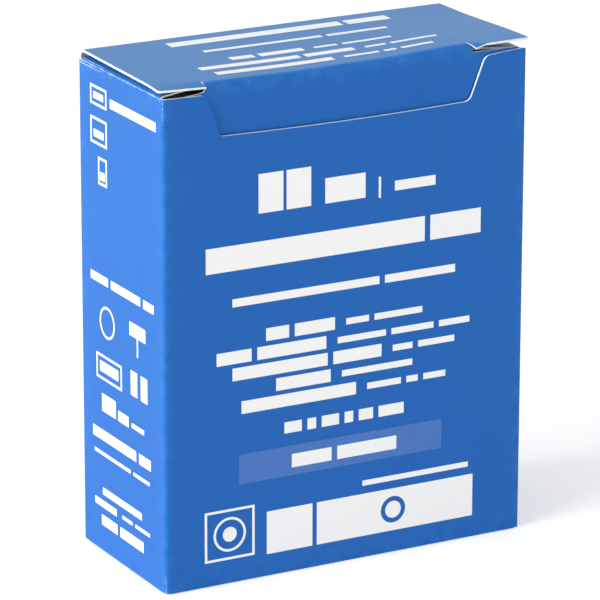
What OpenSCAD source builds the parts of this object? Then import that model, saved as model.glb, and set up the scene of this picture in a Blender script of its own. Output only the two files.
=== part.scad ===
// Folding carton of microscope slides, closed.
// The carton is one creased sheet of printed board. Its lid hinges on the crease at the
// top of the back panel and ends in a tuck flap that slips behind the notched front panel.
// The slides stand on edge inside, side by side.
// X runs along the front panel, the front panel faces -Y, Z is up. The origin is at the
// middle of the base.

/* [Slides] */
// Number of glass slides in the carton
slide_count = 50; // [2:1:54]
// Length of a slide, which stands upright
slide_l = 76; // [60:0.5:90]
// Width of a slide
slide_w = 26; // [20:0.5:40]
// Thickness of a slide
slide_t = 1.1; // [0.8:0.05:1.5]
// Slack between two neighbouring slides
slide_gap = 0.12; // [0.05:0.01:0.3]
// Slack between the outermost slides and the board beside them
side_gap = 0.3; // [0.2:0.05:1]
// Slack between the slides and the back panel
back_gap = 0.15; // [0.1:0.05:1]
// Headroom between the slides and the dust flaps
head_gap = 0.4; // [0.2:0.1:5]

/* [Board] */
// Thickness of the board
board_t = 0.5; // [0.3:0.05:0.7]
// Inner radius of the upright folds and of the dust flap creases
fold_in_r = 0.5; // [0.2:0.05:0.6]
// Layers of board in the glued base
base_layers = 3; // [2:1:4]
// Gap left round the free edges of the outermost base flap
base_flap_gap = 0.6; // [0.3:0.1:2]
// Width of the glue flap inside the right panel
glue_flap_w = 12; // [6:0.5:18]
// Distance from the glue flap's upper end to the top of the panel
glue_flap_drop = 4; // [2:0.5:10]

/* [Front notch] */
// Width of the notch at its mouth, along the front panel's top edge
notch_top_w = 48.8; // [30:0.2:52]
// Width of the notch along its bottom edge
notch_bottom_w = 43.4; // [24:0.2:46]
// Depth of the notch
notch_depth = 7.2; // [5:0.1:8]
// How far the front panel's top edge drops from the upright folds to the notch
notch_lip_drop = 0.4; // [0.1:0.05:0.8]
// Radius of the notch's upper corners
notch_top_r = 1.6; // [0.5:0.1:2.5]
// Radius of the notch's lower corners
notch_bottom_r = 1.2; // [0.5:0.1:2.5]

/* [Dust flaps] */
// Length of a dust flap from its crease
dust_flap_l = 14; // [8:0.5:25]
// Clearance between a dust flap's free end and the lid
dust_gap = 0.1; // [0.05:0.05:0.4]

/* [Lid] */
// Gap between the top edges of the panels and the underside of the lid
lid_gap = 1.1; // [0.8:0.1:2]
// How far the lid's side edges stand past the side panels
lid_overhang = 0.3; // [0:0.05:0.6]
// Length of the slit that frees each end of the lid's front edge
slit_l = 7.8; // [4:0.1:12]
// Outer radius of the fold between the lid and the tuck flap
tuck_fold_r = 1; // [0.8:0.05:1.5]

/* [Tuck flap] */
// Clearance between the tuck flap's fold and the front panel
tuck_gap = 0.2; // [0.15:0.05:0.5]
// Clearance between the tuck flap's tip and the slides
tuck_back_gap = 0.1; // [0.05:0.05:0.5]
// Lean of the tuck flap away from the front panel, in degrees
tuck_lean = 3.5; // [3:0.1:6]
// How far the tongue reaches down behind the front panel, below the notch
tongue_lap = 1.8; // [1:0.1:2]
// How far the tongue's slanted sides lie outside the notch, at the top
tongue_side_lap = 0.4; // [0:0.1:0.8]
// How far the tongue's lower corners lie inside the notch's corners
tongue_corner_inset = 0.6; // [0.4:0.1:2]
// Depth of the shoulders at the ends of the tuck flap, below the panel's edge
shoulder_depth = 3.2; // [2:0.1:3.6]
// How far the shoulders' upper edges stand above the panel's edge
shoulder_rise = 0.1; // [0:0.05:0.2]
// Clearance between the shoulders and the side panels
shoulder_gap = 0.9; // [0.6:0.1:3]
// Radius of the tuck flap's lower corners
tuck_corner_r = 1.4; // [0.5:0.1:2]

/* [Print] */
// Thickness of the printed fields
ink_t = 0.04; // [0.02:0.01:0.1]
// Gap between two words of a row
word_gap = 1; // [0.5:0.1:2]
// Gap between the bold and the light words of a row
group_gap = 2; // [1:0.1:4]
// Height of a light word as a share of its row
light_share = 0.5; // [0.3:0.05:1]
// Line width of the outlined shapes
line_w = 0.4; // [0.2:0.05:0.8]

/* [Hidden] */
$fn = 48;
eps = 0.01;
arc_steps = 6;

fold_r = fold_in_r + board_t;
lid_fold_r = lid_gap + board_t;
tuck_in_r = tuck_fold_r - board_t;
tuck_drop = lid_fold_r + notch_depth + tongue_lap - tuck_fold_r - tuck_in_r * sin(tuck_lean);
tuck_tip_reach = tuck_fold_r - tuck_in_r * cos(tuck_lean) + tuck_drop * tan(tuck_lean);
tuck_room = tuck_gap + tuck_tip_reach + tuck_back_gap;

stack_w = slide_count * slide_t + (slide_count - 1) * slide_gap;
inner_w = side_gap + stack_w + side_gap + board_t;
inner_d = tuck_room + slide_w + back_gap;
base_t = base_layers * board_t;
carton_w = inner_w + 2 * board_t;
carton_d = inner_d + 2 * board_t;
wall_h = base_t + slide_l + head_gap + board_t;
carton_h = wall_h + lid_fold_r;

front_y = -carton_d / 2;
back_y = carton_d / 2;
left_x = -carton_w / 2;
right_x = carton_w / 2;

// centre line of the fold between the lid and the tuck flap
tuck_fold_y = front_y + board_t + tuck_gap + tuck_fold_r;
tuck_fold_z = carton_h - tuck_fold_r;
tuck_fold_half = carton_w / 2 - slit_l;
lid_half = carton_w / 2 + lid_overhang;
shoulder_x = inner_w / 2 - shoulder_gap;

dust_rise = lid_gap - dust_gap;
dust_slope = asin(dust_rise / dust_flap_l);
dust_front_y = tuck_fold_y;
dust_back_y = back_y - lid_fold_r - board_t;

// The print is laid out in hundredths of its panel's width and height, from the middle of the
// panel's width. Each row is its lower edge, its height, its bold words and its light words.
front_rows = [
    [63.3, 5.1, [60.3, 14.3], []],
    [55.1, 3.3, [], [40.5, 19.8]],
    [48, 2.6, [6.3, 11.1], [6.3, 13.5]],
    [44.4, 2.6, [9.5, 19], [13.5, 11.9, 8.7]],
    [40.9, 2.6, [26.2, 13.5], [5.6, 10.3]],
    [37.4, 2.6, [15.1], [19.8]],
    [33.9, 2.6, [31.7], [9.5, 3.2, 6.3]],
    [28.3, 2.3, [4.8, 2.4, 4.8, 2.4, 4, 7.1], []]
];
bar_rows = [[21, 2.8, [11.1, 16.7], []]];
side_rows = [
    [54.7, 1.8, [21.1, 35.1, 12.3], []],
    [23.2, 2.2, [52.6, 14], []],
    [19.6, 1.5, [], [43.9, 19.3]],
    [11.7, 1.5, [47.4], []],
    [8.9, 1.5, [26.3], [12.3, 17.5]],
    [5.1, 2.2, [19.3, 28.1], []]
];
lid_rows = [
    [27.7, 8.4, [47.6, 11.9], []],
    [6.7, 7, [], [32.5, 16.7]],
    [-14.4, 5.6, [6.3, 11.9], [6.3, 13.5]],
    [-26.3, 5.6, [27, 13.5], [5.6, 12.7]],
    [-38.6, 5.6, [31.7], [9.5, 3.2, 8.7]]
];
lid_rows_x = -2.1;

// Blocks and outlined boxes, each by its left edge, lower edge, width and height.
front_blocks = [
    [-23.8, 74, 6.7, 7.9],
    [-16.2, 74, 6.7, 7.9],
    [-5.6, 74, 11.1, 5.1],
    [9.2, 73.5, 0.6, 4.3],
    [13.7, 74.5, 11.4, 2],
    [5.2, 14.4, 30.2, 1.1]
];
bar_block = [-29.2, 19.4, 56.8, 6.2];
side_blocks = [
    [-35.8, 92.1, 11.9, 1.4],
    [-15.8, 91.6, 53.7, 1.9],
    [-35.8, 84.4, 11.9, 1.5],
    [-28.1, 76.1, 4.9, 1.7],
    [8.8, 47.7, 18.9, 2.8],
    [17.5, 43.9, 1.4, 3.8],
    [-27.7, 36.5, 22.5, 2.2],
    [9.8, 35.5, 7.7, 5.1],
    [21.8, 35.5, 7.7, 5.1],
    [-25.6, 28.3, 16.8, 3.7],
    [-6, 28.3, 12.6, 2.2],
    [10.5, 28.7, 14.7, 1]
];
side_frames = [
    [-39.6, 90.8, 19.6, 4],
    [-39.6, 83, 19.6, 5.4],
    [-30.9, 75.1, 10.5, 5.6],
    [-31.9, 34.9, 30.9, 5.2]
];
side_ring = [-18.2, 47.2];
side_ring_r = 2.6;

// Badges at the foot of the front: a lens in a square frame, and a slide seen from above with its
// label end and its cover glass.
lens_frame = [-38.7, 4.2, 13.7, 10.5];
lens_r = 2.8;
lens_dot_r = 1.2;
slide_badge_box = [-21.6, 3.8, 58.4, 8.9];
slide_badge_label = 12.7;
badge_line_w = 0.8;
cover_glass_r = 2.2;

slide_names = [for (i = [1 : slide_count]) str("slide_", i < 10 ? "0" : "", i)];

// ---- outlines ----

function arc(centre, r, a0, a1) =
    [for (i = [0 : arc_steps]) let (a = a0 + (a1 - a0) * i / arc_steps) centre + r * [cos(a), sin(a)]];

function unit(v) = v / norm(v);

function heading(v) = atan2(v[1], v[0]);

// nearest way round from angle a to angle b
function turn(a, b) = let (d = (b - a) % 360) d > 180 ? d - 360 : d < -180 ? d + 360 : d;

function rounded_corner(before, at, after, r) =
    let (
        u = unit(before - at),
        v = unit(after - at),
        half = acos(u * v) / 2,
        centre = at + unit(u + v) * r / sin(half),
        a0 = heading(at + u * r / tan(half) - centre),
        a1 = heading(at + v * r / tan(half) - centre)
    )
    arc(centre, r, a0, a0 + turn(a0, a1));

// outline with the given radius at each corner; a radius of 0 keeps the corner sharp
function rounded_outline(points, radii) =
    let (n = len(points))
    [for (i = [0 : n - 1], p = radii[i] == 0 ? [points[i]]
        : rounded_corner(points[(i + n - 1) % n], points[i], points[(i + 1) % n], radii[i])) p];

function mirrored(half) =
    concat(half, [for (i = [len(half) - 1 : -1 : 0]) [-half[i][0], half[i][1]]]);

function sum(v, n) = n <= 0 ? 0 : v[n - 1] + sum(v, n - 1);

// ---- placing ----

// drawn in XY, stands upright and faces the front, with its face's ink outwards
module on_front() {
    translate([0, front_y, 0]) rotate([90, 0, 0]) linear_extrude(ink_t) children();
}

module on_left_side() {
    translate([left_x, 0, 0]) rotate([90, 0, -90]) linear_extrude(ink_t) children();
}

module on_lid() {
    translate([0, 0, carton_h]) linear_extrude(ink_t) children();
}

// an outline in YZ, extruded along X and centred
module along_x(length) {
    translate([-length / 2, 0, 0]) rotate([90, 0, 90]) linear_extrude(length) children();
}

// ---- carton body ----

module rounded_plan(w, d, r) {
    square([w - 2 * r, d], center = true);
    square([w, d - 2 * r], center = true);
    for (sx = [-1, 1], sy = [-1, 1])
        translate([sx * (w / 2 - r), sy * (d / 2 - r)]) circle(r);
}

module walls() {
    linear_extrude(wall_h) difference() {
        rounded_plan(carton_w, carton_d, fold_r);
        rounded_plan(carton_w - 2 * board_t, carton_d - 2 * board_t, fold_in_r);
    }
}

// base flaps, glued one over the other; the outermost one stops short of three panels
module base() {
    translate([0, 0, board_t]) linear_extrude(base_t - board_t)
        rounded_plan(carton_w - board_t, carton_d - board_t, fold_in_r);
    translate([0, -base_flap_gap / 2, 0]) linear_extrude(board_t + eps)
        square([inner_w - 2 * base_flap_gap, carton_d - board_t - base_flap_gap], center = true);
}

module notch() {
    top = wall_h + fold_r;
    lip_x = carton_w / 2 - fold_r;
    half = [
        [lip_x, top],
        [lip_x, wall_h],
        [notch_top_w / 2, wall_h - notch_lip_drop],
        [notch_bottom_w / 2, wall_h - notch_depth]
    ];
    radii = [0, 0, notch_top_r, notch_bottom_r];
    full_radii = concat(radii, [for (i = [3 : -1 : 0]) radii[i]]);
    translate([0, front_y + board_t + eps, 0]) rotate([90, 0, 0]) linear_extrude(board_t + 2 * eps)
        polygon(rounded_outline(mirrored(half), full_radii));
}

// side view of a dust flap on the left: the panel's top, its crease and the sloping flap
module dust_flap_profile() {
    centre = [left_x + fold_r, wall_h - fold_r];
    dir = [cos(dust_slope), sin(dust_slope)];
    up = [-sin(dust_slope), cos(dust_slope)];
    polygon(concat(
        [[left_x, wall_h - 2 * fold_r]],
        arc(centre, fold_r, 180, 90 + dust_slope),
        [centre + fold_r * up + dust_flap_l * dir, centre + fold_in_r * up + dust_flap_l * dir],
        arc(centre, fold_in_r, 90 + dust_slope, 180),
        [[left_x + board_t, wall_h - 2 * fold_r]]
    ));
}

module dust_flap() {
    translate([0, dust_back_y, 0]) rotate([90, 0, 0]) linear_extrude(dust_back_y - dust_front_y)
        dust_flap_profile();
}

module dust_flap_cut() {
    translate([left_x - eps, dust_front_y, wall_h - fold_r])
        cube([board_t + 2 * eps, dust_back_y - dust_front_y, 2 * fold_r]);
}

module glue_flap() {
    translate([right_x - 2 * board_t, back_y - board_t - glue_flap_w, base_t - eps])
        cube([board_t + eps, glue_flap_w, wall_h - glue_flap_drop - base_t]);
}

module carton_body() {
    color([0.19, 0.42, 0.72]) union() {
        difference() {
            walls();
            notch();
            dust_flap_cut();
            mirror([1, 0, 0]) dust_flap_cut();
        }
        base();
        dust_flap();
        mirror([1, 0, 0]) dust_flap();
        glue_flap();
    }
}

// ---- lid ----

// flat panel, slit at both ends of its front edge, with the free corners between slit and side
module lid_panel() {
    half = [
        [lid_half, back_y - lid_fold_r],
        [lid_half, front_y],
        [tuck_fold_half, front_y],
        [tuck_fold_half, tuck_fold_y]
    ];
    translate([0, 0, carton_h - board_t]) linear_extrude(board_t) polygon(mirrored(half));
}

// quarter ring between the lid and the top of the back panel
module back_fold() {
    centre = [back_y - lid_fold_r, wall_h];
    along_x(2 * lid_half)
        polygon(concat(arc(centre, lid_fold_r, 0, 90), arc(centre, lid_gap, 90, 0)));
}

// side view of the front fold, with a strip of the flat lid behind it and the leaning flap below
module tuck_profile() {
    centre = [tuck_fold_y, tuck_fold_z];
    end = 180 + tuck_lean;
    flap = carton_h * [sin(tuck_lean), -cos(tuck_lean)];
    strip = [tuck_fold_r, 0];
    outer = arc(centre, tuck_fold_r, 90, end);
    inner = arc(centre, tuck_in_r, end, 90);
    polygon(concat([outer[0] + strip], outer, [outer[arc_steps] + flap, inner[0] + flap], inner,
        [inner[arc_steps] + strip]));
}

// front view of the tuck flap: the fold's width, then the shoulders, then the tongue
module tuck_outline() {
    tip_z = wall_h - notch_depth - tongue_lap;
    half = [
        [tuck_fold_half, carton_h + eps],
        [tuck_fold_half, wall_h + shoulder_rise],
        [shoulder_x, wall_h + shoulder_rise],
        [shoulder_x, wall_h - shoulder_depth],
        [notch_top_w / 2 - tongue_side_lap, wall_h - shoulder_depth],
        [notch_bottom_w / 2 - tongue_corner_inset, tip_z]
    ];
    radii = [0, 0, 0, tuck_corner_r, 0, tuck_corner_r];
    full_radii = concat(radii, [for (i = [5 : -1 : 0]) radii[i]]);
    polygon(rounded_outline(mirrored(half), full_radii));
}

module tuck_flap() {
    intersection() {
        along_x(2 * shoulder_x) tuck_profile();
        rotate([90, 0, 0]) linear_extrude(carton_d, center = true) tuck_outline();
    }
}

module lid() {
    color([0.41, 0.57, 0.76]) union() {
        lid_panel();
        back_fold();
        tuck_flap();
    }
}

// ---- print ----

// In these modules kx and ky are a hundredth of the panel's width and height.

// one row of words, each a plain bar, centred on the panel
module print_row(row, kx, ky) {
    bold = len(row[2]);
    widths = kx * concat(row[2], row[3]);
    n = len(widths);
    gaps = [for (i = [0 : n - 1]) i == bold - 1 ? group_gap : word_gap];
    full = sum(widths, n) + sum(gaps, n - 1);
    for (i = [0 : n - 1]) {
        h = i < bold ? row[1] : row[1] * light_share;
        x = sum(widths, i) + sum(gaps, i) - full / 2;
        translate([x, ky * (row[0] + (row[1] - h) / 2)]) square([widths[i], ky * h]);
    }
}

module print_rows(rows, kx, ky) {
    for (row = rows) print_row(row, kx, ky);
}

module block(box, kx, ky) {
    translate([kx * box[0], ky * box[1]]) square([kx * box[2], ky * box[3]]);
}

module blocks(boxes, kx, ky) {
    for (box = boxes) block(box, kx, ky);
}

module outlined(box, kx, ky) {
    difference() {
        block(box, kx, ky);
        translate([kx * box[0] + line_w, ky * box[1] + line_w])
            square([kx * box[2] - 2 * line_w, ky * box[3] - 2 * line_w]);
    }
}

module ring(r) {
    difference() {
        circle(r);
        circle(r - line_w);
    }
}

module slide_badge(kx, ky) {
    box = slide_badge_box;
    label_x = box[0] + slide_badge_label;
    cover = [kx * (label_x + box[0] + box[2]) / 2, ky * (box[1] + box[3] / 2)];
    difference() {
        block(box, kx, ky);
        translate([kx * label_x, ky * box[1] - eps])
            square([badge_line_w, ky * box[3] + 2 * eps]);
        translate(cover) circle(cover_glass_r);
    }
    translate(cover) circle(cover_glass_r - badge_line_w);
}

module lens_badge(kx, ky) {
    box = lens_frame;
    outlined(box, kx, ky);
    translate([kx * (box[0] + box[2] / 2), ky * (box[1] + box[3] / 2)]) {
        ring(lens_r);
        circle(lens_dot_r);
    }
}

module front_bar() {
    kx = carton_w / 100;
    ky = wall_h / 100;
    color([0.33, 0.47, 0.74]) on_front() difference() {
        block(bar_block, kx, ky);
        print_rows(bar_rows, kx, ky);
    }
}

module front_print() {
    kx = carton_w / 100;
    ky = wall_h / 100;
    color([0.95, 0.95, 0.93]) on_front() {
        blocks(front_blocks, kx, ky);
        print_rows(front_rows, kx, ky);
        print_rows(bar_rows, kx, ky);
        slide_badge(kx, ky);
        lens_badge(kx, ky);
    }
}

module side_print() {
    kx = carton_d / 100;
    ky = wall_h / 100;
    color([0.95, 0.95, 0.93]) on_left_side() {
        blocks(side_blocks, kx, ky);
        for (box = side_frames) outlined(box, kx, ky);
        translate([kx * side_ring[0], ky * side_ring[1]]) ring(side_ring_r);
        print_rows(side_rows, kx, ky);
    }
}

module lid_print() {
    kx = carton_w / 100;
    ky = carton_d / 100;
    color([0.95, 0.95, 0.93]) on_lid() translate([kx * lid_rows_x, 0]) print_rows(lid_rows, kx, ky);
}

// ---- slides ----

module slide(i) {
    x = left_x + board_t + side_gap + i * (slide_t + slide_gap);
    y = back_y - board_t - back_gap - slide_w;
    color([0.82, 0.9, 0.88]) translate([x, y, base_t]) cube([slide_t, slide_w, slide_l]);
}

carton_body();
lid();
front_print();
front_bar();
side_print();
lid_print();
for (i = [0 : slide_count - 1])
    slide(i);
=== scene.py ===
import math

import bmesh
import bpy
from mathutils import Matrix, Quaternion, Vector
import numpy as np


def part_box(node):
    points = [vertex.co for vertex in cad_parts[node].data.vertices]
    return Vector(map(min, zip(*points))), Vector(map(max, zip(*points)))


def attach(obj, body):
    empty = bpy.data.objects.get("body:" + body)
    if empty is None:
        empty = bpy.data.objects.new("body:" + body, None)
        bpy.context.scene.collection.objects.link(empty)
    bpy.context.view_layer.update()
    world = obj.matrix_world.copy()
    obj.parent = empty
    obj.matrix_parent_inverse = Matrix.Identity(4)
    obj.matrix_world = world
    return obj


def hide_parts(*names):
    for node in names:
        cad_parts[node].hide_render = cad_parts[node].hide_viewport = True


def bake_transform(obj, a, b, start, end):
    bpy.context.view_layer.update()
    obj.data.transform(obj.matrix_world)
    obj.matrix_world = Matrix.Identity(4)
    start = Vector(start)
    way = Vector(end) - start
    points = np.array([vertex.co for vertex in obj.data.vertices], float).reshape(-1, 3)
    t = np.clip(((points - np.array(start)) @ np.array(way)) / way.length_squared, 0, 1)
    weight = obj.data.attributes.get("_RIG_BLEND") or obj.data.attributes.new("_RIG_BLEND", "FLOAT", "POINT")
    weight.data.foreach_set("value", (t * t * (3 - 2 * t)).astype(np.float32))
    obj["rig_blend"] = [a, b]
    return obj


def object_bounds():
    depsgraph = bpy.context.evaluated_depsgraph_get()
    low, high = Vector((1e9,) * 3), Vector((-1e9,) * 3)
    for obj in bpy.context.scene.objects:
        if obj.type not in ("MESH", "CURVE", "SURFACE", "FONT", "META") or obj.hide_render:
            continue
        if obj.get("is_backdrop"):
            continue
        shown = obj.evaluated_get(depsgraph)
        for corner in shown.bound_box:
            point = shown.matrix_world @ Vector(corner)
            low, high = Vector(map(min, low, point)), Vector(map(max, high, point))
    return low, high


# A folding carton with a tuck-in lid, full of fifty glass microscope slides.
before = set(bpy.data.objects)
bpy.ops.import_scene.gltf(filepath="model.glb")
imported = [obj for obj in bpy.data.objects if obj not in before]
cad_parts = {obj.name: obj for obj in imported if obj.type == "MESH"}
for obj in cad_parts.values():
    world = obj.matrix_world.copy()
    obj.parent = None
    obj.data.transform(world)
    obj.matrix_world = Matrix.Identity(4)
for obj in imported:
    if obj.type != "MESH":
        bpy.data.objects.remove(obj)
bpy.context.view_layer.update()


# ---- Carton board ----
# One sheet of white-lined carton board, printed blue outside and grey-white inside, die-cut and
# creased flat. It is folded into a tube, its glue flap stuck behind the right panel, its base
# flaps turned under and its two dust flaps turned in on top.
MM = 0.001
UP = Vector((0, 0, 1))
DOWN = Vector((0, 0, -1))
LEFT = Vector((-1, 0, 0))
RIGHT = Vector((1, 0, 0))
FORTH = Vector((0, -1, 0))
BACK = Vector((0, 1, 0))
QUARTER = math.pi / 2
FOLD_STEPS = 6

# How near, in mm, counts as on a cut, on a line, short of a line and inside an area.
ON_CUT = 1e-5
ON_LINE = 1e-3
SHORT_OF_LINE = 1e-4
AROUND = 0.01

carton_low, carton_high = (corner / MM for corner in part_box("carton_body"))
lid_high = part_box("lid")[1] / MM
front_y = carton_low.y
back_y = carton_high.y
half_w = carton_high.x
lid_top = lid_high.z
lid_fold_r = 1.6
lid_strip_h = 2.0
wall_top = lid_top - lid_fold_r
back_top = wall_top - lid_strip_h

board_t = 0.42
slot_w = 0.15
corner_cut = 0.2
crease_w = 1.2
sharp_angle = math.radians(35)
sheet_unit = 0.1  # metres of flat sheet to one unit of its UV map


def part_way(value, start, end):
    """How far a value has come from start to end, from 0 to 1."""
    return min(max((value - start) / (end - start), 0), 1)


def fold_length(radius, angle):
    """Length of sheet that a fold takes up."""
    return FOLD_STEPS * 2 * radius * math.sin(abs(angle) / (2 * FOLD_STEPS))


def cut_blank(outline, lay):
    """A flat sheet with that outline. A corner is two places on the sheet and, where it is
    rounded, a length. lay turns the two places into a point."""
    blank = bmesh.new()
    corners = [blank.verts.new(lay(*corner[:2])) for corner in outline]
    blank.faces.new(corners)
    for length in sorted({corner[2] for corner in outline if len(corner) == 3}):
        rounded = [vert for vert, corner in zip(corners, outline) if length in corner[2:]]
        bmesh.ops.bevel(
            blank, geom=rounded, offset=length, offset_type="OFFSET",
            segments=4, profile=0.5, affect="VERTICES", material=-1,
        )
    bmesh.ops.triangulate(blank, faces=blank.faces[:], quad_method="BEAUTY", ngon_method="BEAUTY")
    return blank


def score(blank, direction, places):
    """Cuts the sheet's faces along straight lines, each at its distance along the direction."""
    for place in places:
        bmesh.ops.bisect_plane(
            blank, geom=blank.verts[:] + blank.edges[:] + blank.faces[:], dist=ON_CUT,
            plane_co=direction * place, plane_no=direction,
        )


def score_fold(blank, direction, start, radius, angle, margin=0.4):
    """Score lines for one fold, with one line on each side to keep the panels flat."""
    length = fold_length(radius, angle)
    step = length / FOLD_STEPS
    places = [start - margin, start + length + margin]
    places += [start + k * step for k in range(FOLD_STEPS + 1)]
    score(blank, direction, places)


def lay_flat(blank):
    """Keeps every point's place on the flat sheet, and room for how near a fold it lies, how far its ink has
    cracked and how much painted sheen it gets."""
    flat = blank.verts.layers.float_vector.new("flat")
    for wear_and_sheen in ("crease", "crack", "painted_sheen"):
        blank.verts.layers.float.new(wear_and_sheen)
    for vert in blank.verts:
        vert[flat] = vert.co


def fold(blank, toward, inward, start, radius, angle, holds=None, wear_and_highlight=1.0, cracks=None):
    """Rolls what lies beyond a line of the sheet round a fold. The outermost fold comes first, so each line
    still lies flat when it is rolled. holds says which points may turn, wear_and_highlight how pale the fold
    becomes, partly rubbed and partly a painted highlight, and cracks how far the ink has cracked on a
    numbered line of the fold."""
    flat = blank.verts.layers.float_vector["flat"]
    crease = blank.verts.layers.float["crease"]
    crack = blank.verts.layers.float["crack"]
    length = fold_length(radius, angle)
    step = length / FOLD_STEPS
    free = [vert for vert in blank.verts if holds is None or holds(vert[flat])]
    level = inward * free[0][flat].dot(inward)
    for vert in free:
        off = vert[flat].dot(toward) - start
        # Near the fold the ink is marked to turn paler: partly rubbed, partly a painted highlight.
        near = part_way(max(-off, off - length), crease_w, 0)
        vert[crease] = max(vert[crease], near * wear_and_highlight)
    for k in range(FOLD_STEPS, -1, -1):
        line = start + k * step
        for vert in free:
            if cracks and abs(vert[flat].dot(toward) - line) < ON_LINE:
                vert[crack] = max(vert[crack], cracks(k, vert[flat]))
        turn = angle / FOLD_STEPS * (0.5 if k in (0, FOLD_STEPS) else 1)
        beyond = [vert for vert in free if vert[flat].dot(toward) > line - SHORT_OF_LINE]
        bmesh.ops.rotate(
            blank, verts=beyond, cent=toward * line + level,
            matrix=Matrix.Rotation(turn, 3, toward.cross(inward)),
        )


def board_piece(blank, name, thickness, finishes, pressed=lambda at: 1):
    """The folded sheet with its thickness turned inwards: smooth folds, sharp cut edges, and a UV
    map of its places on the flat sheet. The finishes are those of the outside, the inside and the
    cut edge, and pressed gives the share of the thickness left at a point."""
    flat = blank.verts.layers.float_vector["flat"]
    layout = blank.loops.layers.uv.new("sheet")
    for face in blank.faces:
        for loop in face.loops:
            at = loop.vert[flat]
            loop[layout].uv = (at.x * MM / sheet_unit, (at.y + at.z) * MM / sheet_unit)
    bmesh.ops.scale(blank, vec=(MM, MM, MM), verts=blank.verts[:])
    mesh = bpy.data.meshes.new(name)
    blank.to_mesh(mesh)
    piece = bpy.data.objects.new(name, mesh)
    bpy.context.scene.collection.objects.link(piece)
    board = piece.modifiers.new("board", "SOLIDIFY")
    board.thickness = thickness * MM
    board.offset = -1
    board.use_even_offset = True
    board.use_quality_normals = True
    board.material_offset = 1
    board.material_offset_rim = 2
    full = piece.vertex_groups.new(name="full")
    for number, vert in enumerate(blank.verts):
        full.add([number], pressed(vert[flat]), "REPLACE")
    board.vertex_group = "full"
    for finish in finishes:
        mesh.materials.append(finish)
    thick = piece.evaluated_get(bpy.context.evaluated_depsgraph_get()).to_mesh()
    blank.clear()
    blank.from_mesh(thick)
    piece.modifiers.clear()
    piece.vertex_groups.clear()
    for face in blank.faces:
        face.smooth = True
    for edge in blank.edges:
        edge.smooth = edge.calc_face_angle(0) < sharp_angle
    blank.to_mesh(mesh)
    blank.free()
    return piece


# The panels in a row along the flat sheet: glue flap, back, left, front, right.
upright_fold_r = 0.55
upright_len = fold_length(upright_fold_r, QUARTER)
side_len = back_y - front_y - 2 * upright_fold_r
front_end = half_w - upright_fold_r
left_start = -front_end - upright_len
left_end = left_start - side_len
back_start = left_end - upright_len
back_end = back_start - (2 * front_end - board_t)
right_start = front_end + upright_len
right_edge_gap = 0.1
right_end = right_start + side_len + upright_fold_r - right_edge_gap
upright_folds = ((LEFT, -back_end), (LEFT, -left_end), (LEFT, front_end), (RIGHT, front_end))

glue_flap_w = 12
glue_start = back_end - upright_len
glue_end = glue_start - glue_flap_w
glue_low = 0.5
glue_high = wall_top - 4
glue_taper = 4
glue_lap = 0.1

# The dust flaps slope down a little from their creases and bend once more on the way.
dust_fold_r = 0.8
dust_flap_l = 14
dust_rise = 0.36
dust_slope = math.radians(5.8)
dust_bend = math.radians(5.8)
dust_bend_at = 4
dust_bend_len = 4
dust_front_gap = 0.95
dust_back_gap = 0.95
dust_front_taper = 1.5
dust_back_taper = 0.6
dust_round = 1.5
dust_press = 0.4
dust_turn = QUARTER - dust_slope
dust_crease = wall_top + dust_rise - dust_fold_r
dust_fold_len = fold_length(dust_fold_r, dust_turn)
dust_end = dust_crease + dust_fold_len + dust_flap_l
dust_bend_from = dust_crease + dust_fold_len + dust_bend_at
dust_bend_r = dust_bend_len / dust_bend
dust_near = dust_front_gap - upright_fold_r
dust_far = side_len + upright_fold_r - dust_back_gap
dust_flap = [
    (dust_near - slot_w, wall_top), (dust_near - slot_w, dust_crease), (dust_near, dust_crease),
    (dust_near + dust_front_taper, dust_end, dust_round),
    (dust_far - dust_back_taper, dust_end, dust_round),
    (dust_far, dust_crease), (dust_far + slot_w, dust_crease), (dust_far + slot_w, wall_top),
]

# The base flaps are glued on each other. The back one steps up over the front one, and the side
# ones step up over both.
base_fold_r = 0.35
base_fold_len = fold_length(base_fold_r, QUARTER)
base_fold_end = base_fold_len - base_fold_r
front_flap_gap = 0.85
front_flap_end = -base_fold_end - (back_y - front_y - base_fold_r - front_flap_gap)
inner_flap_l = 20
inner_flap_end = -base_fold_end - inner_flap_l
step_r = 0.55
step_sizes = {"back": (math.radians(45), board_t), "side": (math.radians(60), 2 * board_t)}
steps = {}
for panel, (turn, rise) in step_sizes.items():
    straight = (rise - 2 * step_r * (1 - math.cos(turn))) / math.sin(turn)
    steps[panel] = (turn, base_fold_end, base_fold_end + fold_length(step_r, turn) + straight)
back_taper = (1.0, 1.2)
front_taper = (0.35, 0.6)
side_front_taper = (0.8, 1.6)
left_rear_taper = (0.8, 1.2)
right_rear_taper = (1.8, 2.2)

# The front edge has a notch for the tuck flap. Its foot is bowed, and its right end stands higher.
notch_left_mouth = 24.2
notch_right_mouth = 24.1
notch_left_foot = 21.75
notch_right_foot = 21.4
notch_depth = 6.8
notch_foot_z = wall_top - notch_depth
notch_sag = 0.33
notch_round = 0.8
notch_left_foot_round = 0.4
left_lip = -0.15
right_lip = 0.02
right_rise = 0.55


def base_flap(low, high, low_taper, high_taper, end):
    """The corners of a base flap between two places along the sheet. A taper is how far it stands
    in from there, at its crease and at its end."""
    return [
        (low + low_taper[0], corner_cut), (low + low_taper[1], end),
        (high - high_taper[1], end), (high - high_taper[0], corner_cut),
    ]


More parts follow.
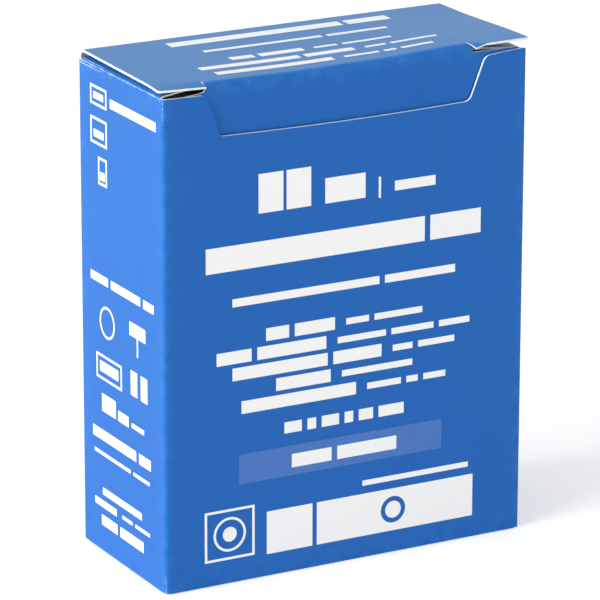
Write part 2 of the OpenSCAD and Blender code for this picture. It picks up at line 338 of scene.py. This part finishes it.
outline = [
    (glue_end, glue_low + glue_taper), (back_end + glue_lap, glue_low),
    *base_flap(back_end, back_start, back_taper, back_taper, inner_flap_end),
    *base_flap(left_end, left_start, left_rear_taper, side_front_taper, inner_flap_end),
    *base_flap(-front_end, front_end, front_taper, front_taper, front_flap_end),
    *base_flap(right_start, right_end, side_front_taper, right_rear_taper, inner_flap_end),
    (right_end, corner_cut), (right_end, wall_top),
    *[(right_start + off, *rest) for off, *rest in reversed(dust_flap)],
    (front_end, wall_top + right_rise), (notch_right_mouth, wall_top + right_lip, notch_round),
    (notch_right_foot, notch_foot_z, notch_round),
    (-notch_left_foot, notch_foot_z, notch_left_foot_round),
    (-notch_left_mouth, wall_top + left_lip, notch_round), (-front_end, wall_top),
    *[(left_start - off, *rest) for off, *rest in dust_flap],
    (back_start, wall_top), (back_start, back_top), (back_end, back_top), (back_end, wall_top),
    (glue_start, glue_high), (glue_end, glue_high - glue_taper),
]
blank = cut_blank(outline, lambda along, height: (along, 0, height))

panel_grid = 6
side_grid = 4.4
height_grid = 6.3
score(blank, RIGHT, [panel_grid * k for k in range(-5, 6)])
score(blank, RIGHT, [left_start - side_grid * k for k in range(1, 6)])
score(blank, RIGHT, [right_start + side_grid * k for k in range(1, 6)])
score(blank, RIGHT, [back_start - panel_grid * k for k in range(1, 10)])
score(blank, UP, [height_grid * k for k in range(1, 12)])
for vert in blank.verts:
    if abs(vert.co.z - notch_foot_z) < ON_LINE and abs(vert.co.x) < notch_right_foot:
        vert.co.z -= notch_sag * (1 - (vert.co.x / notch_right_foot) ** 2)
for direction, start in upright_folds:
    score_fold(blank, direction, start, upright_fold_r, QUARTER)
score_fold(blank, UP, dust_crease, dust_fold_r, dust_turn)
score_fold(blank, UP, dust_bend_from, dust_bend_r, dust_bend, margin=1)
score_fold(blank, DOWN, -base_fold_r, base_fold_r, QUARTER, margin=0.3)
for turn, first, second in steps.values():
    score_fold(blank, DOWN, first, step_r, turn, margin=0.05)
    score_fold(blank, DOWN, second, step_r, turn, margin=0.05)
lay_flat(blank)


def stretch(low, high):
    """Points of the flat sheet from one place to another along the panels."""
    return lambda at: low - AROUND <= at.x <= high + AROUND


dust_wear_from = abs(left_start) + 15
dust_wear_l = 4
foot_wear_l = 5
top_wear_l = 6


def dust_cracks(line, at):
    """A line of cracks along the dust flap's crease, and one to each side at its back end."""
    rear = part_way(abs(at.x), dust_wear_from, dust_wear_from + dust_wear_l)
    return {0: 0.8 * rear, 1: 0.4, 2: 0.82, 3: 0.45, 4: 0.8 * rear}.get(line, 0)


def upright_cracks(line, at):
    """Two fine lines along an upright fold, worn most at its two ends."""
    foot = part_way(at.z, foot_wear_l, 0)
    top = part_way(at.z, wall_top - top_wear_l, wall_top)
    return 0.38 + 0.3 * max(foot, top) if line in (3, 4) else 0


for low, high in (
    (left_start - dust_far, left_start - dust_near), (right_start + dust_near, right_start + dust_far),
):
    flap = stretch(low, high)
    fold(blank, UP, BACK, dust_bend_from, dust_bend_r, dust_bend, flap, wear_and_highlight=0)
    fold(blank, UP, BACK, dust_crease, dust_fold_r, dust_turn, flap, cracks=dust_cracks)
for panel, low, high in (
    ("side", left_end, left_start), ("side", right_start, right_end), ("back", back_end, back_start),
):
    turn, first, second = steps[panel]
    flap = stretch(low, high)
    fold(blank, DOWN, BACK, second, step_r, -turn, flap, wear_and_highlight=0)
    fold(blank, DOWN, BACK, first, step_r, turn, flap, wear_and_highlight=0)
    fold(blank, DOWN, BACK, -base_fold_r, base_fold_r, QUARTER, flap)
fold(blank, DOWN, BACK, -base_fold_r, base_fold_r, QUARTER, stretch(-front_end, front_end))
for direction, start in upright_folds:
    fold(blank, direction, BACK, start, upright_fold_r, QUARTER, cracks=upright_cracks)
bmesh.ops.translate(blank, vec=(0, front_y, 0), verts=blank.verts[:])


class Socket:
    """A shader value that adds its Math nodes when it is used in an expression."""

    def __init__(self, paint, link):
        self.paint = paint
        self.link = link

    def math(self, operation, other):
        return self.paint.node("ShaderNodeMath", {"operation": operation}, {0: self, 1: other})

    def __add__(self, other):
        return self.math("ADD", other)

    def __mul__(self, other):
        return self.math("MULTIPLY", other)

    def __or__(self, other):
        return self.math("MAXIMUM", other)

    __radd__ = __add__
    __rmul__ = __mul__
    __ror__ = __or__


class Paint:
    """The nodes of a material, or of the world, while it is being mixed."""

    def __init__(self, owner, sheet=False):
        owner.use_nodes = True
        self.owner = owner
        self.sheet = sheet
        self.tree = owner.node_tree

    def plug(self, socket, value):
        """Gives a socket its value or its link."""
        if isinstance(value, Socket):
            self.tree.links.new(value.link, socket)
        else:
            socket.default_value = value

    def node(self, kind, settings=None, sockets=None, out=0):
        made = self.tree.nodes.new(kind)
        for name, value in (settings or {}).items():
            setattr(made, name, value)
        for key, value in (sockets or {}).items():
            self.plug(made.inputs[key], value)
        return Socket(self, made.outputs[out]) if made.outputs else None

    def at(self):
        """Where a point lies, in metres: on the flat sheet, or else in the object's own frame."""
        if not self.sheet:
            return self.node("ShaderNodeTexCoord", out="Object")
        place = self.node("ShaderNodeUVMap", {"uv_map": "sheet"})
        return self.node("ShaderNodeVectorMath", {"operation": "SCALE"}, {0: place, "Scale": sheet_unit})

    def wear_and_sheen(self, name):
        """One of the sheet's own measures of wear, painted sheen and painted highlight."""
        return self.node("ShaderNodeAttribute", {"attribute_name": name}, out="Fac")

    def grain(self, size, detail):
        """Noise with features of that size in mm."""
        sockets = {"Vector": self.at(), "Scale": 1 / (size * MM), "Detail": detail}
        return self.node("ShaderNodeTexNoise", {}, sockets)

    def between(self, value, low, high):
        """0 up to low, 1 from high."""
        sockets = {"Value": value, 1: low, 2: high, 3: 0.0, 4: 1.0}
        return self.node("ShaderNodeMapRange", {"clamp": True}, sockets)

    def blend(self, factor, first, second):
        """One colour turned into another as the factor goes from 0 to 1."""
        settings = {"data_type": "RGBA", "clamp_factor": True}
        return self.node("ShaderNodeMix", settings, {0: factor, 6: first, 7: second}, out=2)

    def bump(self, height, depth):
        """Normals for a relief of that depth in mm."""
        sockets = {"Height": height, "Distance": depth * MM, "Strength": 1.0}
        return self.node("ShaderNodeBump", {}, sockets)

    def rays(self):
        """Whether light is seen by the camera, in a glossy face or through glass."""
        kinds = ("Is Camera Ray", "Is Glossy Ray", "Is Transmission Ray")
        return [self.node("ShaderNodeLightPath", out=kind) for kind in kinds]

    def finish(self, **sockets):
        """Sets the material's own shader and gives the material."""
        shader = self.tree.nodes["Principled BSDF"]
        for name, value in sockets.items():
            label = name.replace("_", " ").title().replace("Ior", "IOR")
            self.plug(shader.inputs[label], value)
        return self.owner


def printed_blue():
    """Blue ink under a thin varnish, greener and paler on the lid's top as a painted sheen, paler along a
    fold where it is rubbed and as a painted highlight, and cracked down to the white lining where it is
    worn."""
    paint = Paint(bpy.data.materials.new("printed_blue"), sheet=True)
    fine = paint.grain(0.16, detail=3)
    cloud = paint.grain(9, detail=3)
    flecks = paint.grain(0.2, detail=4)
    patches = paint.grain(2.2, detail=3)
    ink = paint.blend(cloud, (0.0040, 0.116, 0.450, 1), (0.0060, 0.129, 0.495, 1))
    ink = paint.blend(paint.between(fine, 0.35, 0.7) * 0.3, ink, (0.012, 0.150, 0.53, 1))
    # Painted sheen: the lid's top is painted a greener, paler blue.
    ink = paint.blend(paint.wear_and_sheen("painted_sheen") * 0.8, ink, (0.008, 0.190, 0.51, 1))
    # Paler blue in patches along the folds: partly rubbed ink, partly a painted highlight on the rounded
    # folds.
    rubbed_and_highlight = paint.wear_and_sheen("crease") * paint.between(patches, 0.35, 0.65) * 0.3
    ink = paint.blend(rubbed_and_highlight, ink, (0.035, 0.235, 0.66, 1))
    lining = paint.between(paint.wear_and_sheen("crack") * 0.5 + flecks * 0.7 + patches * 0.25, 0.79, 0.90)
    ink = paint.blend(lining * 0.75, ink, (0.66, 0.74, 0.83, 1))
    return paint.finish(
        base_color=ink, roughness=paint.between(fine, 0.2, 0.8) * 0.08 + 0.34 + lining * 0.2,
        specular_ior_level=0.3, normal=paint.bump(fine * 0.5 + cloud * 0.5, 0.01),
    )


def board_inside():
    """Uncoated grey-white back of the board, with fibres."""
    paint = Paint(bpy.data.materials.new("board_inside"), sheet=True)
    fibre = paint.grain(0.5, detail=6)
    cloud = paint.grain(4, detail=3)
    shade = paint.blend(paint.between(fibre, 0.3, 0.7), (0.50, 0.49, 0.45, 1), (0.66, 0.645, 0.60, 1))
    shade = paint.blend(cloud * 0.3, shade, (0.58, 0.555, 0.49, 1))
    return paint.finish(
        base_color=shade, roughness=0.85, specular_ior_level=0.2, normal=paint.bump(fibre, 0.03),
    )


def cut_edge():
    """The board's die-cut edge, white with a few loose fibres."""
    paint = Paint(bpy.data.materials.new("cut_edge"))
    fibre = paint.grain(0.18, detail=6)
    shade = paint.blend(paint.between(fibre, 0.3, 0.7), (0.80, 0.80, 0.77, 1), (0.96, 0.96, 0.94, 1))
    return paint.finish(
        base_color=shade, roughness=0.8, specular_ior_level=0.2, normal=paint.bump(fibre, 0.04),
    )


def dust_pressed(at):
    """The dust flaps are pressed thinner beyond their creases."""
    return 1 - dust_press * part_way(at.z, dust_crease, dust_crease + dust_fold_len)


board_finishes = [printed_blue(), board_inside(), cut_edge()]
carton_board = board_piece(blank, "carton_board", board_t, board_finishes, dust_pressed)
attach(carton_board, "carton")
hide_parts("carton_body")


# ---- Lid board ----
# The same sheet goes on above the back panel: the lid turns forward on its crease there, and
# its front edge turns down into the tuck flap, which slips behind the notched front panel.
lid_t = 0.36
lid_half = lid_high.x
back_fold_y = back_y - lid_fold_r
back_fold_len = fold_length(lid_fold_r, QUARTER)
strip_end = back_fold_y + back_fold_len + lid_strip_h
hinge_reach = 4

tuck_fold_r = 1.0
tuck_lean = math.radians(1.2)
tuck_gap = 0.1
tuck_turn = QUARTER + tuck_lean
tuck_fold_len = fold_length(tuck_fold_r, tuck_turn)
tuck_fold_y = front_y + board_t + tuck_gap + tuck_fold_r
tuck_fold_z = lid_top - tuck_fold_r - tuck_fold_r * math.sin(tuck_lean)

corner_round = 0.5
strip_step = 0.3
lid_step = 0.2
shoulder_gap = 0.9
shoulder_x = half_w - board_t - shoulder_gap
shoulder_depth = 3.2
tongue_lap = 1.8
tongue_side_lap = 0.4
tongue_inset = 0.1
tongue_round = 1.2


def tuck_at(height):
    """Place on the flat sheet of a height on the tuck flap."""
    return tuck_fold_y - tuck_fold_len - (tuck_fold_z - height) / math.cos(tuck_lean)


class Ear:
    """A free front corner of the lid, outside the slit that parts it from the tuck flap."""

    def __init__(self, side, root, mouth, gap, reach):
        self.side = side
        self.root = root
        self.mouth = mouth
        self.gap = gap
        self.front = front_y - reach

    def holds(self, at):
        """Whether a point of the flat sheet lies on the ear."""
        root = self.root + slot_w / 2
        mouth = self.mouth + self.gap / 2
        slit = root + (mouth - root) * part_way(at.y, tuck_fold_y, self.front)
        return at.x * self.side > slit and at.y > self.front - AROUND


def lid_edge(ear, strip_half, back_half, corner, mouth_rise, mouth_round, shoulder_rise):
    """One side of the lid's outline, from the back panel's strip round to the tongue."""
    back_fold_end = back_fold_y + back_fold_len
    shoulder_foot = tuck_at(wall_top - shoulder_depth)
    return [
        (strip_half, strip_end), (strip_half, back_fold_end + strip_step),
        (back_half, back_fold_end - lid_step), (*corner, corner_round),
        (ear.mouth + ear.gap, ear.front), (ear.root + slot_w, tuck_fold_y),
        (ear.root, tuck_fold_y), (ear.mouth, tuck_at(wall_top + mouth_rise), mouth_round),
        (shoulder_x, tuck_at(wall_top + shoulder_rise)), (shoulder_x, shoulder_foot, tongue_round),
        (notch_right_mouth - tongue_side_lap, shoulder_foot),
        (notch_right_foot - tongue_inset, tuck_at(notch_foot_z - tongue_lap), tongue_round),
    ]


left_ear = Ear(side=-1, root=24.2, mouth=23.9, gap=0.75, reach=0)
right_ear = Ear(side=1, root=21.4, mouth=22.2, gap=0.15, reach=0.22)
left_edge = lid_edge(
    left_ear, strip_half=front_end, back_half=31.25, corner=(lid_half + 0.2, front_y + 0.3),
    mouth_rise=0.15, mouth_round=0.85, shoulder_rise=-0.5,
)
right_edge = lid_edge(
    right_ear, strip_half=front_end - board_t, back_half=31.65, corner=(lid_half, front_y),
    mouth_rise=0.2, mouth_round=0.35, shoulder_rise=0.2,
)
outline = [(-x, *rest) for x, *rest in left_edge] + right_edge[::-1]
blank = cut_blank(outline, lambda across, back: (across, back, lid_top))

# The lid bows, so it is scored closely.
tuck_grid = 2
lines_across = [-30] + [2 * k for k in range(-11, 11)] + [22.5, 24, 27, 30]
lines_back = [-11.5, -10.5] + [-9 + 2 * k for k in range(10)]
score(blank, RIGHT, lines_across)
score(blank, RIGHT, [-left_ear.root - 4, -left_ear.root - 2, -left_ear.root])
score(blank, BACK, lines_back)
score(blank, BACK, [tuck_at(wall_top - tuck_grid * k) for k in range(1, 4)])
score_fold(blank, BACK, back_fold_y, lid_fold_r, QUARTER)
score_fold(blank, FORTH, -tuck_fold_y, tuck_fold_r, tuck_turn)

# The right ear's inner corner is bent down into a small nub along a slanting line.
nub_w = 2.4
nub_reach = 0.2
nub_steps = [0.0, 0.12, 0.24, 0.36]
nub_turn = math.radians(45)
nub_wear_side = 0.3
nub_wear_end = 1
nub_root = Vector((right_ear.root + slot_w, tuck_fold_y, lid_top))
nub_end = Vector((right_ear.mouth + nub_w, front_y - nub_reach, lid_top))
nub_line = (nub_end - nub_root).normalized()
nub_side = Vector((nub_line.y, -nub_line.x, 0))


def on_front_of_ear(at):
    """The right ear's part in front of the tuck fold."""
    return right_ear.holds(at) and at.y < tuck_fold_y + AROUND


for step in nub_steps:
    faces = [face for face in blank.faces if all(on_front_of_ear(vert.co) for vert in face.verts)]
    edges = dict.fromkeys(edge for face in faces for edge in face.edges)
    verts = dict.fromkeys(vert for face in faces for vert in face.verts)
    bmesh.ops.bisect_plane(
        blank, geom=[*faces, *edges, *verts], dist=ON_CUT,
        plane_co=nub_root + nub_side * step, plane_no=nub_side,
    )
lay_flat(blank)
flat = blank.verts.layers.float_vector["flat"]
crack = blank.verts.layers.float["crack"]
painted_sheen = blank.verts.layers.float["painted_sheen"]
for vert in blank.verts:
    at = vert[flat]
    by_nub = (at - nub_root).dot(nub_side) > -nub_wear_side and at.x < nub_end.x + nub_wear_end
    if vert.is_boundary and right_ear.holds(at) and by_nub:
        vert[crack] = 1.0
    # The whole lid top gets the painted sheen, which fades out over its two creases.
    on_ear = left_ear.holds(at) or right_ear.holds(at)
    front = 1 if on_ear else part_way(at.y, tuck_fold_y - tuck_fold_len / 2, tuck_fold_y)
    rear = part_way(at.y, back_fold_y + back_fold_len / 2, back_fold_y)
    vert[painted_sheen] = min(front, rear)
for step in reversed(nub_steps):
    turning = [
        vert for vert in blank.verts
        if on_front_of_ear(vert[flat]) and (vert[flat] - nub_root).dot(nub_side) > step + SHORT_OF_LINE
    ]
    bmesh.ops.rotate(
        blank, verts=turning, cent=nub_root + nub_side * step,
        matrix=Matrix.Rotation(nub_turn / len(nub_steps), 3, nub_line),
    )

# The left ear sags at its front, most beside the slit, and is pulled a little into the slit.
ear_sag = 0.25
slit_sag = 0.2
sag_l = 4.5
slit_sag_l = 1.8
sag_fade_w = 3
pull_w = 5
for vert in blank.verts:
    at = vert[flat]
    if left_ear.holds(at):
        inner = part_way(at.x, -lid_half, -left_ear.root)
        along = part_way(at.y, front_y, front_y + sag_l + (slit_sag_l - sag_l) * inner)
        across = part_way(at.x, sag_fade_w - left_ear.root, -left_ear.root)
        vert.co.z -= (ear_sag + slit_sag * inner) * (1 - along) ** 1.5 * across ** 2
        pull = part_way(at.y, tuck_fold_y, front_y)
        pull *= part_way(at.x, -left_ear.mouth - pull_w, -left_ear.mouth)
        vert.co.x += (left_ear.gap - slot_w) * pull

fold(blank, BACK, DOWN, back_fold_y, lid_fold_r, QUARTER)
fold(
    blank, FORTH, DOWN, -tuck_fold_y, tuck_fold_r, tuck_turn,
    holds=lambda at: not left_ear.holds(at) and not right_ear.holds(at),
    cracks=lambda line, at: 0.42 if line in (4, 5, 6) else 0,
)

warp_lift = 0.5
lift_from = 6
lift_to = 21
warp_drop = 0.15
drop_x = -8
drop_half = 16
stiff_l = 6


def ease(value):
    """A share from 0 to 1, with soft ends."""
    return value ** 2 * (3 - 2 * value)


def warp_at(x, y):
    """How far the lid's free front stands up at its right, and sags left of its middle."""
    free = part_way(y, back_y - stiff_l, tuck_fold_y)
    lift = warp_lift * ease(part_way(x, lift_from, lift_to))
    drop = warp_drop * ease(part_way(abs(x - drop_x), drop_half, 0))
    return (lift - drop) * ease(free)


for vert in blank.verts:
    vert.co.z += warp_at(vert.co.x, vert.co.y)
lid_board = board_piece(blank, "lid_board", lid_t, board_finishes)
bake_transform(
    lid_board, "carton", "lid",
    start=(0, back_y * MM, back_top * MM), end=(0, (back_y - hinge_reach) * MM, lid_top * MM),
)
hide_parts("lid")


# ---- Print ----
# White and tinted ink on the blue, as plain bars, rings and outlined boxes in place of words and
# signs. Each panel's rows lie a little off their plain places, and the lid's bow with the lid.
def flat_ink(name, first, second):
    """Ink with a slight grain between two shades."""
    paint = Paint(bpy.data.materials.new(name))
    shade = paint.blend(paint.between(paint.grain(0.16, detail=3), 0.3, 0.75), first, second)
    return paint.finish(base_color=shade, roughness=0.38, specular_ior_level=0.25)


white = flat_ink("white_ink", (0.93, 0.935, 0.925, 1), (0.975, 0.98, 0.97, 1))
tint = flat_ink("tint_ink", (0.056, 0.168, 0.51, 1), (0.086, 0.213, 0.56, 1))

# How far the rows are moved: from this place up the panel, along it and up it.
front_moves = [(0, -0.4, 0.7)]
side_moves = [(0, 0.5, 0.45), (21, -0.1, 1.3), (57, -1.2, 1.15)]
lid_moves = [(-13, 0, 0.65), (-8.5, 0.8, 0.6), (-5, 1.3, 0.7), (0, 1.7, 0.1), (6, 1.9, -0.3)]
for node_name, name, body, slot, ink, along, up, moves in (
    ("front_print", "front_ink", "carton", "white_ink", white, RIGHT, UP, front_moves),
    ("front_bar", "front_tint", "carton", "tint_ink", tint, RIGHT, UP, front_moves),
    ("side_print", "side_ink", "carton", "white_ink", white, BACK, UP, side_moves),
    ("lid_print", "lid_ink", "lid", "white_ink", white, RIGHT, BACK, lid_moves),
):
    film = bmesh.new()
    film.from_mesh(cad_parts[node_name].data)
    bmesh.ops.scale(film, vec=(1 / MM, 1 / MM, 1 / MM), verts=film.verts[:])
    bmesh.ops.remove_doubles(film, verts=film.verts[:], dist=1e-3)
    for vert in film.verts:
        _, over, higher = [move for move in moves if move[0] <= vert.co.dot(up)][-1]
        vert.co += along * over + up * higher
    if body == "lid":
        score(film, RIGHT, lines_across)
        score(film, BACK, lines_back)
        for vert in film.verts:
            vert.co.z += warp_at(vert.co.x, vert.co.y)
    bmesh.ops.scale(film, vec=(MM, MM, MM), verts=film.verts[:])
    mesh = bpy.data.meshes.new(name)
    film.to_mesh(mesh)
    film.free()
    mesh.materials.append(ink)
    piece = bpy.data.objects.new(name, mesh)
    bpy.context.scene.collection.objects.link(piece)
    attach(piece, body)
    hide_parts(node_name)


# ---- Slides ----
# Fifty slides of clear soda-lime glass, cut to size and ground at their edges. They stand
# upright side by side, and rest on the carton's base.
def slide_glass():
    """Clear glass, very slightly green, with a faint film on its faces."""
    paint = Paint(bpy.data.materials.new("slide_glass"))
    return paint.finish(
        base_color=(0.86, 0.95, 0.92, 1), roughness=paint.grain(14, detail=2) * 0.03 + 0.02,
        ior=1.52, transmission_weight=1.0,
    )


def ground_edge():
    """The cut edge of a slide, ground matt, so that it scatters a pale green light."""
    paint = Paint(bpy.data.materials.new("ground_edge"))
    fine = paint.grain(0.3, detail=3)
    shade = paint.blend(paint.between(fine, 0.3, 0.7), (0.42, 0.56, 0.51, 1), (0.62, 0.74, 0.70, 1))
    return paint.finish(
        base_color=shade, roughness=0.45, ior=1.52, transmission_weight=0.3,
        normal=paint.bump(fine, 0.01),
    )


slide_finishes = [slide_glass(), ground_edge()]
slide_bevel = 0.08
slide_count = 50
for number in range(1, slide_count + 1):
    node_name = f"slide_{number:02d}"
    low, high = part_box(node_name)
    slab = bmesh.new()
    bmesh.ops.create_cube(slab, size=1)
    bmesh.ops.scale(slab, vec=high - low, verts=slab.verts[:])
    bmesh.ops.translate(slab, vec=(low + high) / 2, verts=slab.verts[:])
    bmesh.ops.bevel(
        slab, geom=slab.edges[:], offset=slide_bevel * MM, offset_type="OFFSET",
        segments=1, profile=0.5, affect="EDGES", material=-1,
    )
    for face in slab.faces:
        flat_face = abs(face.normal.x) > 0.9
        face.material_index = 0 if flat_face else 1
    mesh = bpy.data.meshes.new(f"glass_{node_name}")
    slab.to_mesh(mesh)
    slab.free()
    for finish in slide_finishes:
        mesh.materials.append(finish)
    piece = bpy.data.objects.new(f"glass_{node_name}", mesh)
    bpy.context.scene.collection.objects.link(piece)
    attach(piece, "carton")
    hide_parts(node_name)


# ---- Studio ----
# A white floor and white surroundings, one large soft lamp from the left and a weak one from the
# front, and the camera. The surroundings look white and light the object at half that.
scene = bpy.context.scene
scene.view_settings.view_transform = "Standard"

room_white = (1, 1, 1, 1)
room_light = 0.5
room = Paint(bpy.data.worlds.new("studio"))
room.tree.nodes.clear()
camera_ray, glossy_ray, glass_ray = room.rays()
lit = room.node("ShaderNodeBackground", {}, {"Color": room_white, "Strength": room_light})
seen = room.node("ShaderNodeBackground", {}, {"Color": room_white, "Strength": 1.0})
both = room.node("ShaderNodeMixShader", {}, {0: camera_ray | glossy_ray | glass_ray, 1: lit, 2: seen})
room.node("ShaderNodeOutputWorld", {}, {"Surface": both})
scene.world = room.owner

floor_half = 4.0
paper = bmesh.new()
bmesh.ops.create_grid(paper, x_segments=1, y_segments=1, size=floor_half)
mesh = bpy.data.meshes.new("floor")
paper.to_mesh(mesh)
paper.free()
floor = bpy.data.objects.new("floor", mesh)
scene.collection.objects.link(floor)
floor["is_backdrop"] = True

# The paper glows a little where it is seen, so that it looks white beside the object's shadow.
paint = Paint(bpy.data.materials.new("floor_paper"))
camera_ray, glossy_ray, glass_ray = paint.rays()
glow = (camera_ray + glass_ray) * 0.35 + glossy_ray * 0.06
mesh.materials.append(paint.finish(
    base_color=(0.9, 0.9, 0.9, 1), roughness=0.9, specular_ior_level=0.0,
    emission_color=paint.blend(glow, (0, 0, 0, 1), (1, 1, 1, 1)), emission_strength=1.0,
))

lamp_distance = 1.5
lamp_aim = Vector((0, 0, 0.04))
for name, direction, power, size in (
    ("key", Vector((-1.0, -0.10, 0.32)), 29.3, 1.2),
    ("fill", Vector((0.25, -0.8, 0.55)), 3.6, 1.0),
):
    panel = bpy.data.lights.new(name, "AREA")
    panel.shape = "SQUARE"
    panel.size = size
    panel.energy = power
    lamp = bpy.data.objects.new(name, panel)
    scene.collection.objects.link(lamp)
    lamp.location = direction.normalized() * lamp_distance + lamp_aim
    lamp.rotation_mode = "QUATERNION"
    lamp.rotation_quaternion = direction.to_track_quat("Z", "Y")
    lamp.visible_glossy = False  # no lamp shows as a bright patch in the varnish

view_distance = 0.6992
view_aim = Vector((-0.49, 0, 38.86)) * MM
view_yaw = math.radians(-28.57)
view_rise = math.radians(17.59)
view_tilt = math.radians(0.12)
lens = bpy.data.cameras.new("camera")
lens.lens = 268.6
lens.sensor_width = 36
lens.clip_end = 50
camera = bpy.data.objects.new("camera", lens)
scene.collection.objects.link(camera)
scene.camera = camera
level_x = math.sin(view_yaw) * math.cos(view_rise)
level_y = -math.cos(view_yaw) * math.cos(view_rise)
view_back = Vector((level_x, level_y, math.sin(view_rise)))
camera.location = view_aim + view_back * view_distance
camera.rotation_mode = "QUATERNION"
camera.rotation_quaternion = view_back.to_track_quat("Z", "Y") @ Quaternion(UP, view_tilt)

low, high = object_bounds()
